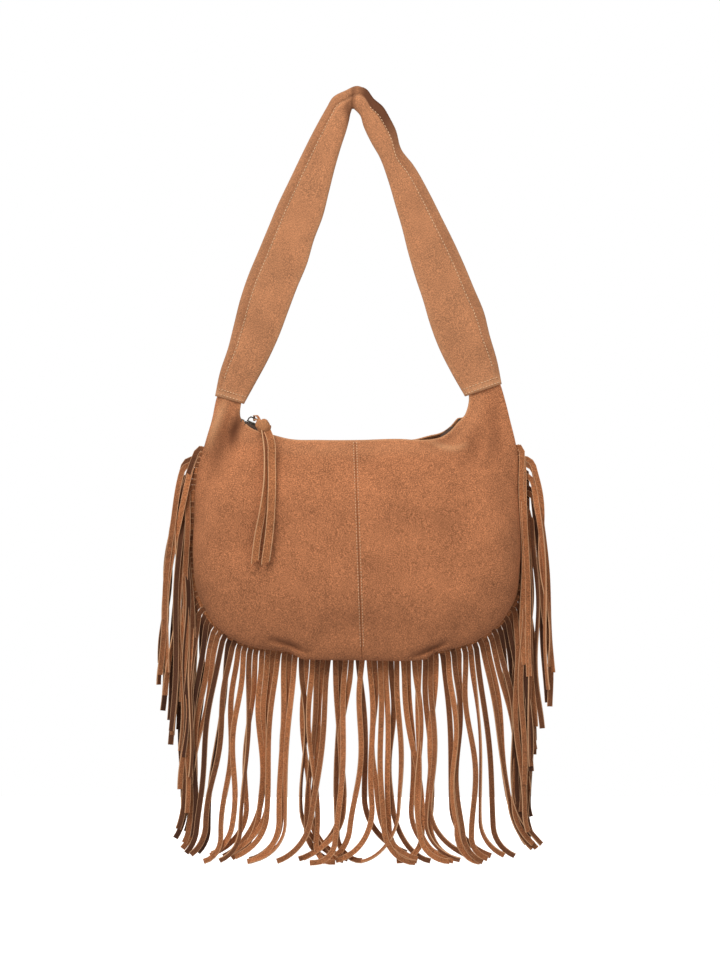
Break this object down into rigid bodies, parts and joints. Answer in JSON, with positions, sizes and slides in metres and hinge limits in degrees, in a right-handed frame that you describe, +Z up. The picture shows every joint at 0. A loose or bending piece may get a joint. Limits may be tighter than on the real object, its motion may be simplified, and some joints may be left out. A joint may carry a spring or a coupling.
{
  "type": "fringed shoulder bag",
  "caption": "Suede shoulder bag with a rounded body, a zip along the scooped top, a knotted thong puller, a folded strap and a long fringe in the outer seam",
  "frame": {"origin": "The underside of the top of the strap, where it rests on the peg or shoulder that carries the bag; the bag hangs below it", "axes": "+Z up, against gravity; +X to the right of someone facing the front of the bag; -Y towards that person"},
  "size_m": [0.4104, 0.0937, 0.778],
  "materials": {
    "suede": "napped tan suede, matt",
    "fringe_suede": "napped suede, matt, paler cut edges",
    "lining": "plain woven cloth",
    "zip_tape": "ribbed woven tape",
    "zip_metal": "dark gunmetal plate"
  },
  "bodies": {
    "bag": {"front_panel_left": "suede", "front_panel_right": "suede", "back_panel_left": "suede", "back_panel_right": "suede", "lining_front": "lining", "lining_back": "lining", "strap": "suede", "fringe": "fringe_suede", "zip_tape_front": "zip_tape", "zip_tape_back": "zip_tape", "zip_teeth_front": "zip_metal", "zip_teeth_back": "zip_metal", "zip_top_stop_front": "zip_metal", "zip_top_stop_back": "zip_metal", "zip_bottom_stop": "zip_metal"},
    "slider": {"zip_slider": "zip_metal"},
    "thong": {"puller_thong": "suede"}
  },
  "joints": [
    {"name": "zip_travel", "type": "hinge", "parent": "bag", "child": "slider", "pos_m": [-0.002, 0, -0.075], "axis": [0, -1, 0], "range_deg": [0, 45]},
    {"name": "thong_swing", "type": "hinge", "parent": "slider", "child": "thong", "pos_m": [-0.09841, 0, -0.31112], "axis": [0, -1, 0], "range_deg": [-45, 0]}
  ],
  "couplings": [
    {"joint": "thong_swing", "follows": "zip_travel", "ratio": -1}
  ]
}
